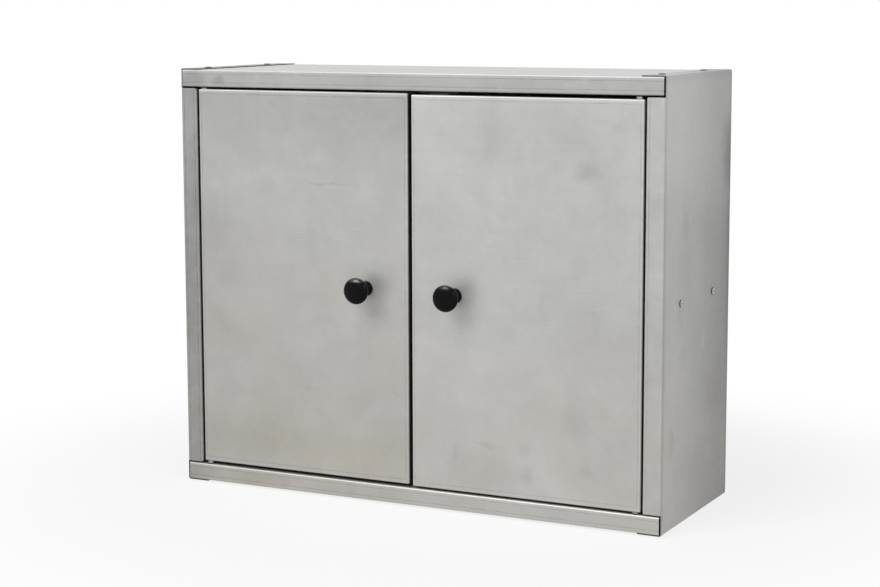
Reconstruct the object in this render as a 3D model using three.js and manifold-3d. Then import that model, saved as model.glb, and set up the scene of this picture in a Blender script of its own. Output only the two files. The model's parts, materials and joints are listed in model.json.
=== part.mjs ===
// Wall tool cabinet: a folded and riveted sheet carcass with a fixed shelf and two doors hung on pivot pins
import * as THREE from 'three';
import { mergeVertices } from 'three/addons/utils/BufferGeometryUtils.js';
import Module from 'manifold-3d';

const wasm = await Module();
wasm.setup();

// Carcass, in millimetres
const width = 600;
const height = 490;
const depth = 216;
const sheet = 1;
const foldRadius = 0.8;
const stileWidth = 21;
const stileReturn = 15;
const railHeight = 20;
const railDepth = 40;
const railHem = 8;
const edgeInset = 0.7;
const sideFlange = 27;
const rearFlange = 18;
const panelGap = 1;
const stileGap = 1.8;
const stileCorner = 2;

// Wall fixing in the back panel
const hangSpacing = 440;
const hangDrop = 62;
const hangHead = 5.5;
const hangSlot = 3;
const hangRise = 12;
const footRise = 50;

// Shelf and the brackets under its ends
const shelfFront = 21;
const shelfRivetDrop = 10;
const shelfSkirt = 20;
const shelfHem = 9;
const bracketHeight = 19;
const bracketWidth = 15;
const bracketFront = 34;
const bracketRear = 195;
const shelfRivetLevel = 244.5;
const shelfRivetFront = 54;
const shelfRivetRear = 158;

// Doors
const doorInset = 0.5;
const doorDepth = 18;
const doorLip = 10;
const doorCorner = 2;
const sideGap = 2.5;
const centreGap = 4.5;
const pivotSetback = 4.5;
const pivotInset = 6.5;

// Pivot pins and the washers that set the height of each door
const pinRadius = 2;
const pinReach = 3;
const pinHeadRadius = 2.65;
const pinHeadHeight = 1.2;
const washerRadius = 3.8;
const washerThickness = 1.3;
const washersNear = 2;
const washersFar = 3;

// Knobs
const knobSetback = 53.6;
const knobRadius = 15;
const knobCollarRadius = 8.6;
const knobProjection = 30;
const knobBore = 14;
const screwRadius = 2;
const screwLength = 12;
const screwHeadRadius = 4;
const screwHeadHeight = 2.4;
const screwSlotWidth = 1;
const screwSlotDepth = 0.9;
const screwDomeShare = 0.7;
const screwWasherRadius = 5;
const screwWasherThickness = 1;

// Magnetic catches
const catchPlace = 28;
const catchWidth = 28;
const catchHeight = 14;
const catchDepth = 16;
const catchSetback = 1;
const catchEar = 10;
const catchEarThickness = 3;
const magnetWidth = 22;
const magnetHeight = 7;
const magnetDepth = 12;
const magnetDrop = 3.5;
const catchScrewRadius = 1.5;
const catchScrewHeadRadius = 2.8;
const catchScrewHeadHeight = 1.6;
const catchScrewReach = 3;

// Blind rivets
const rivetHeadRadius = 4;
const rivetHeadHeight = 1.5;
const rivetShankRadius = 2;
const rivetBulbRadius = 2.8;
const rivetBulbLength = 3.5;
const rivetBoreRadius = 1.1;
const rivetBoreDepth = 1.2;
const rivetDomeShares = [[0.55, 0.95], [0.85, 0.6]];
const rivetBulbShare = 0.7;
const rivetInset = 16.4;
const rivetFront = 33;
const rivetRear = 165;

// Fits and fineness
const fit = 0.3;
const overrun = 5;
const foldSteps = 4;
const roundSteps = 16;
const knobSteps = 32;
const weld = 0.001;

// Derived places
const halfWidth = width / 2;
const outerFold = foldRadius + sheet;
const halfSheet = sheet / 2;
const innerHalf = halfWidth - sheet;
const panelHalf = innerHalf - panelGap;
const railEdge = sheet + railHeight;
const rearFace = depth - sheet * 2;
const doorEdge = halfWidth - stileWidth - sideGap;
const doorWidth = doorEdge - centreGap / 2;
const washerStack = (washersNear + washersFar) * washerThickness;
const doorHeight = height - railEdge * 2 - washerStack;
const pivotX = doorEdge - pivotInset;
const shelfLevel = shelfRivetLevel + shelfRivetDrop;
const doorBack = doorInset + doorDepth;
const originY = (depth - knobProjection + doorInset) / 2;
const rivetPlaces = [rivetFront, rivetRear];
const shelfRivetPlaces = [shelfRivetFront, shelfRivetRear];

const steel = { color: 0xb4b5b0, roughness: 0.45, metalness: 0.8 };
const zinc = { color: 0xc9cac8, roughness: 0.35, metalness: 0.9 };
const black = { color: 0x141415, roughness: 0.3, metalness: 0 };
const grey = { color: 0x6f7275, roughness: 0.6, metalness: 0 };
const magnetic = { color: 0x55575a, roughness: 0.4, metalness: 0.7 };

// Solids
function solid(geometry) {
  const bare = new THREE.BufferGeometry();
  bare.setAttribute('position', geometry.getAttribute('position'));
  bare.setIndex(geometry.getIndex());
  const merged = mergeVertices(bare);
  const vertProperties = new Float32Array(merged.getAttribute('position').array);
  const triVerts = new Uint32Array(merged.getIndex().array);
  return new wasm.Manifold(new wasm.Mesh({ numProp: 3, vertProperties, triVerts }));
}

// Corners closer than the weld become one, and the slivers between them go
function welded(mesh) {
  const raw = new THREE.BufferGeometry();
  raw.setAttribute('position', new THREE.BufferAttribute(new Float32Array(mesh.vertProperties), 3));
  raw.setIndex(Array.from(mesh.triVerts));
  const geometry = mergeVertices(raw, weld);
  const index = geometry.getIndex().array;
  const kept = [];
  for (let i = 0; i < index.length; i += 3) {
    const [a, b, c] = index.slice(i, i + 3);
    if (a !== b && b !== c && c !== a) kept.push(a, b, c);
  }
  geometry.setIndex(kept);
  return geometry;
}

function named(name, body, look) {
  const geometry = welded(body.getMesh());
  geometry.computeVertexNormals();
  const material = new THREE.MeshStandardMaterial({ ...look, flatShading: true });
  const result = new THREE.Mesh(geometry, material);
  result.name = name;
  return result;
}

// Shape axes of an extrusion run along x, y or z
const runs = {
  x: new THREE.Matrix4().set(0, 0, 1, 0, 1, 0, 0, 0, 0, 1, 0, 0, 0, 0, 0, 1),
  y: new THREE.Matrix4().set(1, 0, 0, 0, 0, 0, -1, 0, 0, 1, 0, 0, 0, 0, 0, 1),
  z: new THREE.Matrix4(),
};

function extrude(shape, axis, from, to) {
  const geometry = new THREE.ExtrudeGeometry(shape, { depth: to - from, bevelEnabled: false });
  geometry.translate(0, 0, axis === 'y' ? -to : from);
  return solid(geometry.applyMatrix4(runs[axis]));
}

function arc(centre, start, end, radius) {
  const points = [];
  for (let i = 0; i <= foldSteps; i++) {
    const turn = (i / foldSteps) * Math.PI / 2;
    const reach = start.clone().multiplyScalar(Math.cos(turn)).addScaledVector(end, Math.sin(turn));
    points.push(centre.clone().addScaledVector(reach, radius));
  }
  return points;
}

// Outline of a sheet of even thickness, folded square at the corners of its middle line
function folded(corners) {
  const line = corners.map(([u, v]) => new THREE.Vector2(u, v));
  const ways = line.slice(1).map((point, i) => point.clone().sub(line[i]).normalize());
  const bend = foldRadius + halfSheet;
  const left = [];
  const right = [];
  line.forEach((point, i) => {
    const into = ways[Math.max(i - 1, 0)];
    const out = ways[Math.min(i, ways.length - 1)];
    const turn = Math.sign(into.cross(out));
    if (turn === 0) {
      const aside = new THREE.Vector2(-out.y, out.x);
      left.push(point.clone().addScaledVector(aside, halfSheet));
      right.push(point.clone().addScaledVector(aside, -halfSheet));
      return;
    }
    const centre = point.clone().addScaledVector(into, -bend).addScaledVector(out, bend);
    const start = out.clone().negate();
    left.push(...arc(centre, start, into, bend - turn * halfSheet));
    right.push(...arc(centre, start, into, bend + turn * halfSheet));
  });
  return new THREE.Shape([...left, ...right.reverse()]);
}

function rounded(u0, v0, u1, v1, radius) {
  const east = new THREE.Vector2(1, 0);
  const north = new THREE.Vector2(0, 1);
  const west = east.clone().negate();
  const south = north.clone().negate();
  const at = (u, v) => new THREE.Vector2(u, v);
  return new THREE.Shape([
    ...arc(at(u1 - radius, v0 + radius), south, east, radius),
    ...arc(at(u1 - radius, v1 - radius), east, north, radius),
    ...arc(at(u0 + radius, v1 - radius), north, west, radius),
    ...arc(at(u0 + radius, v0 + radius), west, south, radius),
  ]);
}

function block(x0, x1, y0, y1, z0, z1) {
  const geometry = new THREE.BoxGeometry(x1 - x0, y1 - y0, z1 - z0);
  return solid(geometry.translate((x0 + x1) / 2, (y0 + y1) / 2, (z0 + z1) / 2));
}

function turned(profile, steps) {
  const points = profile.map(([radius, along]) => new THREE.Vector2(radius, along));
  const geometry = new THREE.LatheGeometry(points, steps);
  return geometry.rotateX(Math.PI / 2);
}

const aims = {
  up: (geometry) => geometry,
  down: (geometry) => geometry.rotateX(Math.PI),
  front: (geometry) => geometry.rotateX(Math.PI / 2),
  back: (geometry) => geometry.rotateX(-Math.PI / 2),
  right: (geometry) => geometry.rotateY(Math.PI / 2),
  left: (geometry) => geometry.rotateY(-Math.PI / 2),
};

function aimed(profile, aim, x, y, z, steps = roundSteps) {
  return solid(aims[aim](turned(profile, steps)).translate(x, y, z));
}

function bore(radius, aim, x, y, z) {
  return aimed([[0, -overrun], [radius, -overrun], [radius, overrun], [0, overrun]], aim, x, y, z);
}

function ring(inner, outer, thickness) {
  return [[inner, 0], [outer, 0], [outer, thickness], [inner, thickness], [inner, 0]];
}

function drilled(body, bores) {
  return bores.reduce((rest, tool) => rest.subtract(tool), body);
}

// Carcass
const rivetX = halfWidth - rivetInset;

function sidePanel(side) {
  const wall = side * (halfWidth - halfSheet);
  const stileEnd = side * (halfWidth - stileWidth + halfSheet);
  const crown = height - halfSheet;
  const flangeEnd = side * (halfWidth - sideFlange);
  const rearEnd = side * (halfWidth - rearFlange);
  const rear = depth - halfSheet;
  const lap = outerFold * 2;
  const stile = folded([
    [stileEnd, stileReturn],
    [stileEnd, halfSheet],
    [wall, halfSheet],
    [wall, depth / 2],
  ]);
  const back = folded([[wall, depth / 2], [wall, rear], [rearEnd, rear]]);
  const wrap = folded([[flangeEnd, halfSheet], [wall, halfSheet], [wall, crown], [flangeEnd, crown]]);
  const stileFoot = railEdge + stileGap;
  const room = [wall - overrun, wall + overrun, -overrun, lap, stileFoot, height - stileFoot];
  const body = extrude(wrap, 'y', edgeInset, rearFace)
    .subtract(block(...room))
    .add(extrude(back, 'z', lap, height - lap))
    .add(extrude(stile, 'z', stileFoot, height - stileFoot))
    .subtract(stileCut(side, stileFoot, 1))
    .subtract(stileCut(side, height - stileFoot, -1));
  const x = side * rivetX;
  const flangeBores = rivetPlaces.flatMap((y) => [0, height].map((z) => riveted('up', x, y, z)));
  const wallBores = shelfRivetPlaces.map((y) => riveted('right', side * halfWidth, y, shelfRivetLevel));
  return drilled(body, [...flangeBores, ...wallBores]);
}

// Snipped corner where the end of a stile meets its return
function stileCut(side, z, way) {
  const inner = side * (halfWidth - stileWidth);
  const shape = new THREE.Shape([
    new THREE.Vector2(inner - side * fit, z - way * fit),
    new THREE.Vector2(inner + side * stileCorner, z - way * fit),
    new THREE.Vector2(inner - side * fit, z + way * stileCorner),
  ]);
  return extrude(shape, 'y', -fit, stileReturn + overrun);
}

function riveted(aim, x, y, z) {
  return bore(rivetShankRadius + fit, aim, x, y, z);
}

// Heights are counted inwards from the top or bottom of the cabinet
const counted = { top: (rise) => height - rise, bottom: (rise) => rise };

function capPanel(end) {
  const at = counted[end];
  const web = at(sheet + halfSheet);
  const lip = at(railEdge - halfSheet);
  const hem = at(railEdge - halfSheet - railHem);
  const shape = folded([
    [railDepth - halfSheet, hem],
    [railDepth - halfSheet, lip],
    [halfSheet, lip],
    [halfSheet, web],
    [rearFace - halfSheet, web],
    [rearFace - halfSheet, at(sheet + rearFlange)],
  ]);
  const body = extrude(shape, 'x', -panelHalf, panelHalf);
  const flange = at(sheet);
  const flangeBores = rivetPlaces.flatMap((y) => [-rivetX, rivetX].map((x) => riveted('up', x, y, flange)));
  const lipBores = [-pivotX, pivotX].map((x) => bore(pinRadius + fit, 'up', x, pivotSetback, at(railEdge)));
  const screwBores = end === 'top' ? catchScrews().map(([x, y]) => catchBore(x, y, at(railEdge))) : [];
  return drilled(body, [...flangeBores, ...lipBores, ...screwBores]);
}

function keyhole(x) {
  const z = height - hangDrop;
  const slot = block(x - hangSlot, x + hangSlot, rearFace - overrun, depth + overrun, z, z + hangRise);
  const crown = bore(hangSlot, 'back', x, depth, z + hangRise);
  return bore(hangHead, 'back', x, depth, z).add(slot).add(crown);
}

function backPanel() {
  const edge = sheet * 2;
  const plate = block(-panelHalf, panelHalf, rearFace, rearFace + sheet, edge, height - edge);
  const sides = [-hangSpacing / 2, hangSpacing / 2];
  const feet = sides.map((x) => bore(hangSlot, 'back', x, depth, footRise));
  return drilled(plate, [...sides.map(keyhole), ...feet]);
}

function shelf() {
  const skirt = shelfLevel - shelfSkirt + halfSheet;
  const plate = shelfLevel - halfSheet;
  const front = shelfFront + halfSheet;
  const shape = folded([
    [shelfFront + shelfHem, skirt],
    [front, skirt],
    [front, plate],
    [rearFace - panelGap, plate],
  ]);
  return extrude(shape, 'x', -panelHalf, panelHalf);
}

function shelfBracket(side) {
  const leg = side * (innerHalf - halfSheet);
  const crown = shelfLevel - sheet;
  const flange = crown - halfSheet;
  const flangeEnd = side * (innerHalf - bracketWidth);
  const shape = folded([[leg, crown - bracketHeight], [leg, flange], [flangeEnd, flange]]);
  const bores = shelfRivetPlaces.map((y) => riveted('right', side * innerHalf, y, shelfRivetLevel));
  return drilled(extrude(shape, 'y', bracketFront, bracketRear), bores);
}

// Doors, each drawn from its closing edge outwards
function washerCount(side, end) {
  return (end === 'top') === (side < 0) ? washersNear : washersFar;
}

function doorFoot(side) {
  return railEdge + washerCount(side, 'bottom') * washerThickness;
}

function panel(inner, outer, foot, crown, set, radius) {
  const across = rounded(inner + set, doorInset + set, outer - set, doorBack - set, radius);
  const along = rounded(doorInset + set, foot + set, doorBack - set, crown - set, radius);
  return extrude(across, 'z', foot, crown).intersect(extrude(along, 'x', inner, outer));
}

function doorPan(side) {
  const [inner, outer] = side < 0 ? [-doorEdge, -doorEdge + doorWidth] : [doorEdge - doorWidth, doorEdge];
  const foot = doorFoot(side);
  const crown = foot + doorHeight;
  const outline = rounded(inner, foot, outer, crown, doorCorner);
  const mouth = [inner + doorLip, outer - doorLip, doorBack - sheet * 2, doorBack + overrun];
  const body = panel(inner, outer, foot, crown, 0, outerFold)
    .intersect(extrude(outline, 'y', 0, doorBack + overrun))
    .subtract(panel(inner, outer, foot, crown, sheet, foldRadius))
    .subtract(block(...mouth, foot + doorLip, crown - doorLip));
  return drilled(body, [
    bore(pinRadius + fit, 'up', side * pivotX, pivotSetback, foot),
    bore(pinRadius + fit, 'up', side * pivotX, pivotSetback, crown),
    bore(screwRadius + fit, 'back', side * knobX, doorInset, doorMiddle(side)),
  ]);
}

const knobX = centreGap / 2 + knobSetback;

function doorMiddle(side) {
  return doorFoot(side) + doorHeight / 2;
}

// Collar, waist, swelling head and round dome, in shares of the knob's radius and projection
const knobCurveShares = [
  [0.5, 0.16], [0.44, 0.25], [0.43, 0.36], [0.5, 0.48], [0.72, 0.59], [0.91, 0.67],
  [0.985, 0.73], [1, 0.79], [0.975, 0.837], [0.88, 0.89], [0.7, 0.94], [0.42, 0.981],
];

function knob(side) {
  const curve = knobCurveShares.map(([across, along]) => [across * knobRadius, along * knobProjection]);
  const profile = [
    [0, knobBore],
    [screwRadius + fit, knobBore],
    [screwRadius + fit, 0],
    [knobCollarRadius, 0],
    [knobCollarRadius, sheet * 2],
    ...curve,
    [0, knobProjection],
  ];
  return aimed(profile, 'front', side * knobX, doorInset, doorMiddle(side), knobSteps);
}

function knobWasher(side) {
  const profile = ring(screwRadius + fit, screwWasherRadius, screwWasherThickness);
  return aimed(profile, 'back', side * knobX, doorInset + sheet, doorMiddle(side));
}

function knobScrew(side) {
  const seat = sheet + screwWasherThickness;
  const profile = [[0, seat - screwLength], [screwRadius, seat - screwLength], [screwRadius, seat],
    [screwHeadRadius, seat], [screwHeadRadius, seat + screwHeadHeight / 2],
    [screwHeadRadius * screwDomeShare, seat + screwHeadHeight], [0, seat + screwHeadHeight]];
  const x = side * knobX;
  const z = doorMiddle(side);
  const crown = doorInset + seat + screwHeadHeight;
  const half = screwSlotWidth / 2;
  const reach = screwHeadRadius / 2;
  const slot = block(x - half, x + half, crown - screwSlotDepth, crown + overrun, z - reach, z + reach)
    .add(block(x - reach, x + reach, crown - screwSlotDepth, crown + overrun, z - half, z + half));
  return aimed(profile, 'back', x, doorInset, z).subtract(slot);
}

// Pivots
function pivotPin(side, end) {
  const reach = washerCount(side, end) * washerThickness + sheet + pinReach;
  const profile = [[0, -reach], [pinRadius - fit, -reach], [pinRadius, fit - reach], [pinRadius, sheet],
    [pinHeadRadius, sheet], [pinHeadRadius, sheet + pinHeadHeight], [0, sheet + pinHeadHeight]];
  const z = counted[end](railEdge);
  return aimed(profile, end === 'top' ? 'up' : 'down', side * pivotX, pivotSetback, z);
}

function pivotWasher(side, end, place) {
  const profile = ring(pinRadius + fit, washerRadius, washerThickness);
  const z = counted[end](railEdge + place * washerThickness);
  return aimed(profile, end === 'top' ? 'down' : 'up', side * pivotX, pivotSetback, z);
}

// Blind rivets hold two thicknesses of sheet
function rivet(aim, x, y, z) {
  const grip = -sheet * 2;
  const dome = rivetDomeShares.map(([wide, high]) => [wide * rivetHeadRadius, high * rivetHeadHeight]);
  const profile = [
    [0, rivetHeadHeight - rivetBoreDepth],
    [rivetBoreRadius, rivetHeadHeight - rivetBoreDepth],
    [rivetBoreRadius, rivetHeadHeight],
    ...dome,
    [rivetHeadRadius, 0],
    [rivetShankRadius, 0],
    [rivetShankRadius, grip],
    [rivetBulbRadius, grip],
    [rivetBulbRadius, grip - rivetBulbLength * rivetBulbShare],
    [rivetShankRadius, grip - rivetBulbLength],
    [0, grip - rivetBulbLength],
  ];
  return aimed(profile.reverse(), aim, x, y, z);
}

// Magnetic catches under the lip of the top rail
const lipLevel = height - railEdge;
const catchFront = doorBack + catchSetback;
const catchScrewY = catchFront + catchDepth / 2;
const catchScrewSpan = catchWidth / 2 + catchEar / 2;

function catchScrews() {
  return [-catchPlace, catchPlace].flatMap((x) => [
    [x - catchScrewSpan, catchScrewY],
    [x + catchScrewSpan, catchScrewY],
  ]);
}

function catchBore(x, y, z) {
  return bore(catchScrewRadius + fit, 'up', x, y, z);
}

function catchBody(side) {
  const x = side * catchPlace;
  const half = catchWidth / 2;
  const span = half + catchEar;
  const rear = catchFront + catchDepth;
  const pocketFront = catchFront - overrun;
  const pocketHalf = magnetWidth / 2 + fit;
  const pocketRear = doorBack + magnetDepth;
  const pocketTop = lipLevel - magnetDrop + fit;
  const pocketFoot = lipLevel - magnetDrop - magnetHeight - fit;
  const body = block(x - half, x + half, catchFront, rear, lipLevel - catchHeight, lipLevel)
    .add(block(x - span, x + span, catchFront, rear, lipLevel - catchEarThickness, lipLevel))
    .subtract(block(x - pocketHalf, x + pocketHalf, pocketFront, pocketRear, pocketFoot, pocketTop));
  const bores = [x - catchScrewSpan, x + catchScrewSpan].map((at) => catchBore(at, catchScrewY, lipLevel));
  return drilled(body, bores);
}

function catchMagnet(side) {
  const x = side * catchPlace;
  const half = magnetWidth / 2;
  const crown = lipLevel - magnetDrop;
  return block(x - half, x + half, doorBack, doorBack + magnetDepth, crown - magnetHeight, crown);
}

function catchScrew(x, y) {
  const profile = [[0, -catchEarThickness - catchScrewHeadHeight],
    [catchScrewHeadRadius * screwDomeShare, -catchEarThickness - catchScrewHeadHeight],
    [catchScrewHeadRadius, -catchEarThickness - catchScrewHeadHeight / 2],
    [catchScrewHeadRadius, -catchEarThickness],
    [catchScrewRadius, -catchEarThickness],
    [catchScrewRadius, catchScrewReach],
    [0, catchScrewReach + catchScrewRadius]];
  return aimed(profile, 'up', x, y, lipLevel);
}

// Assembly
const cabinet = new THREE.Group();
cabinet.name = 'tool_cabinet';
cabinet.position.set(0, -originY, rivetHeadHeight);

const sides = [['left', -1], ['right', 1]];
const ends = ['top', 'bottom'];

cabinet.add(named('back_panel', backPanel(), steel));
cabinet.add(named('shelf', shelf(), steel));
for (const end of ends) {
  cabinet.add(named(`${end}_panel`, capPanel(end), steel));
}

for (const [hand, side] of sides) {
  cabinet.add(named(`side_panel_${hand}`, sidePanel(side), steel));
  cabinet.add(named(`shelf_bracket_${hand}`, shelfBracket(side), steel));
  rivetPlaces.forEach((y, i) => {
    cabinet.add(named(`rivet_top_${hand}_${i + 1}`, rivet('up', side * rivetX, y, height), zinc));
    cabinet.add(named(`rivet_bottom_${hand}_${i + 1}`, rivet('down', side * rivetX, y, 0), zinc));
  });
  shelfRivetPlaces.forEach((y, i) => {
    const body = rivet(hand, side * halfWidth, y, shelfRivetLevel);
    cabinet.add(named(`rivet_shelf_${hand}_${i + 1}`, body, zinc));
  });
  for (const end of ends) {
    cabinet.add(named(`pivot_pin_${end}_${hand}`, pivotPin(side, end), zinc));
    for (let i = 0; i < washerCount(side, end); i++) {
      cabinet.add(named(`pivot_washer_${end}_${hand}_${i + 1}`, pivotWasher(side, end, i), zinc));
    }
  }
  cabinet.add(named(`catch_body_${hand}`, catchBody(side), grey));
  cabinet.add(named(`catch_magnet_${hand}`, catchMagnet(side), magnetic));

  const door = new THREE.Group();
  door.name = `door_${hand}_assembly`;
  door.add(named(`door_${hand}`, doorPan(side), steel));
  door.add(named(`knob_${hand}`, knob(side), black));
  door.add(named(`knob_screw_${hand}`, knobScrew(side), zinc));
  door.add(named(`knob_washer_${hand}`, knobWasher(side), zinc));
  cabinet.add(door);
}

catchScrews().forEach(([x, y], i) => {
  cabinet.add(named(`catch_screw_${i + 1}`, catchScrew(x, y), zinc));
});

export default cabinet;
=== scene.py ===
import json
import math

import bpy
from bpy.props import FloatProperty, FloatVectorProperty, IntProperty, PointerProperty
from mathutils import Matrix, Vector


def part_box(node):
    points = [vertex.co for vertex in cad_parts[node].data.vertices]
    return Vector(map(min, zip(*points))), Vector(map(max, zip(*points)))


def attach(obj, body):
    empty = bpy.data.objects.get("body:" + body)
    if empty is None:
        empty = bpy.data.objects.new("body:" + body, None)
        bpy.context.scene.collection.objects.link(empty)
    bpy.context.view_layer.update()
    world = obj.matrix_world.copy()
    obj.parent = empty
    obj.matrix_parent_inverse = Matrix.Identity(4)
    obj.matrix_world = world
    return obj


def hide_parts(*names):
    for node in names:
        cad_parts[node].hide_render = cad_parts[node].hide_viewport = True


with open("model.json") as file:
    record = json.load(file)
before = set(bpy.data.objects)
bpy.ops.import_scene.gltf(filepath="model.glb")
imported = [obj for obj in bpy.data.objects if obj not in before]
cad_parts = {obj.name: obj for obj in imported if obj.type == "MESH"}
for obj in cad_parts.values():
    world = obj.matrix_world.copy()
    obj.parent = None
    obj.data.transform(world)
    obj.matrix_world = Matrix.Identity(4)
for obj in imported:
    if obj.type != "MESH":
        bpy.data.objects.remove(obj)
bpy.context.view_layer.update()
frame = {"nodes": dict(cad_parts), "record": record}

bl_info = {
    "name": "Steel Tool Cabinet",
    "version": (1, 0, 0),
    "blender": (4, 5, 0),
    "location": "View3D > Sidebar > Cabinet",
    "description": "Dresses the measured frame of a wall tool cabinet of bare sheet steel",
    "category": "Object",
}

BODY_OF = {
    node: body
    for body, nodes in frame["record"]["behaviour"]["bodies"].items()
    for node in nodes
}
HANDS = ("left", "right")

# Lengths are metres in the frame of the CAD model
SHEET = 0.001
# What lies further forward than these belongs to the outer faces
FACE_DEPTH = 1.3 * SHEET
CARCASS_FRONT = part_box("top_panel")[0].y + FACE_DEPTH
DOOR_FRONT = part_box("door_left")[0].y + FACE_DEPTH
# The right wall, the top face, and the lower and upper edge of the bottom rail
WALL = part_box("side_panel_right")[1].x
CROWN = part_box("top_panel")[1].z
SOLE, LIP = (corner.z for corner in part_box("bottom_panel"))
# The skin of the faces on top, and how much they mirror
TOP_FACE, TOP_FACE_METAL = 0.0015, 0.30


# Settings
class SheetSettings(bpy.types.PropertyGroup):
    """Bare sheet steel of the carcass, the shelf and the doors."""

    cool: FloatVectorProperty(
        name="Cool grey", description="Tone of the clean sheet", subtype="COLOR",
        min=0, max=1, default=(0.457, 0.460, 0.449),
    )
    warm: FloatVectorProperty(
        name="Warm grey", description="Tone of the handled lower half", subtype="COLOR",
        min=0, max=1, default=(0.450, 0.438, 0.414),
    )
    violet: FloatVectorProperty(
        name="Violet grey", description="Tone of the zinc's faint violet clouds",
        subtype="COLOR", min=0, max=1, default=(0.459, 0.452, 0.446),
    )
    olive: FloatVectorProperty(
        name="Oil stain", description="Tone of the old oil along the left door's foot",
        subtype="COLOR", min=0, max=1, default=(0.40, 0.365, 0.27),
    )
    cut: FloatVectorProperty(
        name="Cut edge", description="Tone of the sheared edges", subtype="COLOR",
        min=0, max=1, default=(0.20, 0.20, 0.195),
    )
    # Near black: painted shade of the gaps where the side panels' edges meet the rails
    cut_dark: FloatVectorProperty(
        name="Side cut edge", description="Tone of the side panels' oiled edges",
        subtype="COLOR", min=0, max=1, default=(0.022, 0.022, 0.021),
    )
    cut_pale: FloatVectorProperty(
        name="Left cut edge", description="Tone of the left panel's cleaner edges",
        subtype="COLOR", min=0, max=1, default=(0.38, 0.38, 0.37),
    )
    gloss: FloatProperty(
        name="Roughness", description="Roughness of the sheet's skin",
        min=0, max=1, default=0.50, subtype="FACTOR",
    )
    metal: FloatProperty(
        name="Metallic", description="How far the skin mirrors as bare metal does",
        min=0, max=1, default=0.6, subtype="FACTOR",
    )
    burr: FloatProperty(
        name="Edge rounding", description="Width taken off each sheared edge",
        min=0, default=0.00012, unit="LENGTH",
    )


class KnobSettings(bpy.types.PropertyGroup):
    """Turned black knobs."""

    radius: FloatProperty(
        name="Radius", description="Half the knob's width", default=0.015, unit="LENGTH",
    )
    projection: FloatProperty(
        name="Projection", description="From the door's face to the knob's crown",
        default=0.03, unit="LENGTH",
    )
    colour: FloatVectorProperty(
        name="Colour", description="Tone of the moulded plastic", subtype="COLOR",
        min=0, max=1, default=(0.003, 0.003, 0.003),
    )
    steps: IntProperty(name="Steps", description="Facets round the knob", min=24, default=96)


class FittingSettings(bpy.types.PropertyGroup):
    """Rivets, pivot pins, washers and screws."""

    zinc: FloatVectorProperty(
        name="Zinc", description="Tone of the plated fittings", subtype="COLOR",
        min=0, max=1, default=(0.50, 0.50, 0.50),
    )
    washer: FloatVectorProperty(
        name="Washer", description="Tone of the worn washers on the pivot pins",
        subtype="COLOR", min=0, max=1, default=(0.36, 0.36, 0.355),
    )
    rivet: FloatVectorProperty(
        name="Rivet", description="Tone of the rivets' heads", subtype="COLOR",
        min=0, max=1, default=(0.46, 0.46, 0.45),
    )
    # Partly dirt round the head and partly painted shade on the head's edge
    rim: FloatVectorProperty(
        name="Rivet rim", description="Tone of the dirt that gathers round a rivet's head",
        subtype="COLOR", min=0, max=1, default=(0.035, 0.034, 0.032),
    )
    # Near black: painted shade of the bore
    stub: FloatVectorProperty(
        name="Mandrel stub", description="Tone of the snapped steel in a rivet's bore",
        subtype="COLOR", min=0, max=1, default=(0.03, 0.03, 0.028),
    )
    steps: IntProperty(name="Steps", description="Facets round a fitting", min=16, default=48)


class CatchSettings(bpy.types.PropertyGroup):
    """Magnetic catches behind the top rail."""

    housing: FloatVectorProperty(
        name="Housing", description="Tone of the moulded housing", subtype="COLOR",
        min=0, max=1, default=(0.155, 0.162, 0.17),
    )
    magnet: FloatVectorProperty(
        name="Magnet", description="Tone of the sintered magnet", subtype="COLOR",
        min=0, max=1, default=(0.045, 0.045, 0.047),
    )
    plate: FloatProperty(
        name="Pole plate", description="Thickness of the steel plates beside the magnet",
        default=0.0014, unit="LENGTH",
    )


class StageSettings(bpy.types.PropertyGroup):
    """Floor, lamps and camera."""

    camera: FloatVectorProperty(
        name="Camera", description="Place of the camera", subtype="TRANSLATION",
        unit="LENGTH", default=(1.0157, -2.0390, 0.5678),
    )
    yaw: FloatProperty(
        name="Yaw", description="Turn of the camera about the upright", unit="ROTATION",
        default=math.radians(26.678),
    )
    pitch: FloatProperty(
        name="Pitch", description="How far the camera looks down", unit="ROTATION",
        default=math.radians(7.609),
    )
    roll: FloatProperty(
        name="Roll", description="Lean of the camera", unit="ROTATION",
        default=math.radians(0.152),
    )
    lens: FloatProperty(
        name="Lens", description="Focal length on a 36 mm sensor", unit="CAMERA", default=81.25,
    )
    drop: FloatProperty(
        name="Shift", description="Upright shift of the frame", default=-0.03,
    )
    key: FloatProperty(name="Key lamp", description="Power of the lamp at the upper left",
                       min=0, default=7, unit="POWER")
    fill: FloatProperty(name="Fill lamp", description="Power of the lamp at the right",
                        min=0, default=26, unit="POWER")
    crown: FloatProperty(name="Top lamp", description="Power of the lamp overhead",
                         min=0, default=88, unit="POWER")
    sky: FloatProperty(name="Sky", description="Strength of the even light all round",
                       min=0, default=0.20)


SETTINGS = {
    "cabinet_sheet": SheetSettings,
    "cabinet_knob": KnobSettings,
    "cabinet_fitting": FittingSettings,
    "cabinet_catch": CatchSettings,
    "cabinet_stage": StageSettings,
}


# Modelling
HALF_TURN = math.pi
QUARTER_TURN = math.pi / 2
# Faces that meet below these angles are shaded as one
FOLD_ANGLE = math.radians(40)
LATHE_ANGLE = math.radians(35)
KNOB_ANGLE = math.radians(50)
BROAD_FACE_WEIGHT = 80
# Faces that meet below this angle are one flat face
FLAT_ANGLE = math.radians(1)
# Corners closer than these are one corner
LATHE_MERGE = 0.000001
CAD_MERGE = 0.000002
# Least and greatest width of a cut edge, as shares of the sheet
CUT_EDGE_SHARES = (0.82, 1.02)


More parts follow.
